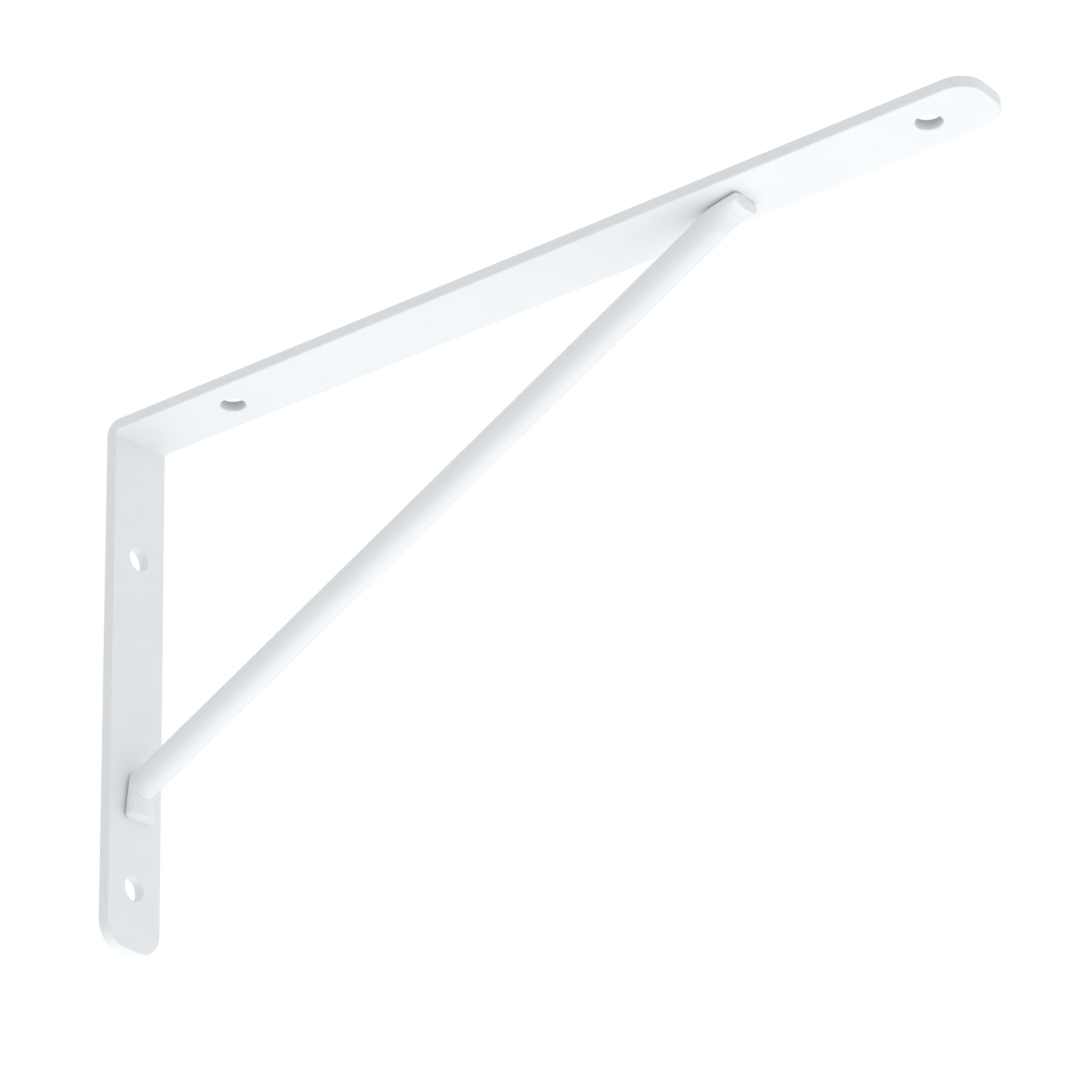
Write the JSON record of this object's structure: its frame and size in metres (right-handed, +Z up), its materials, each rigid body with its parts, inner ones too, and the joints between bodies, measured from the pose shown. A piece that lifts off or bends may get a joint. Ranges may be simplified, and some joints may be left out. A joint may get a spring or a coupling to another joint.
{
  "type": "shelf bracket",
  "caption": "White bent flat bar shelf bracket with rounded ends, braced by a slanting round strut with flattened ends.",
  "frame": {"origin": "on the face that lies against the wall, midway between the two wall screw holes", "axes": "+X out from the wall along the arm, +Y across the bar, +Z up towards the shelf"},
  "size_m": [0.341, 0.025, 0.1875],
  "materials": {
    "bar_coating": "smooth semi-gloss white powder coat",
    "strut_coating": "smooth semi-gloss white powder coat"
  },
  "bodies": {
    "root": {"bent_bar": "bar_coating", "strut": "strut_coating"}
  },
  "joints": []
}
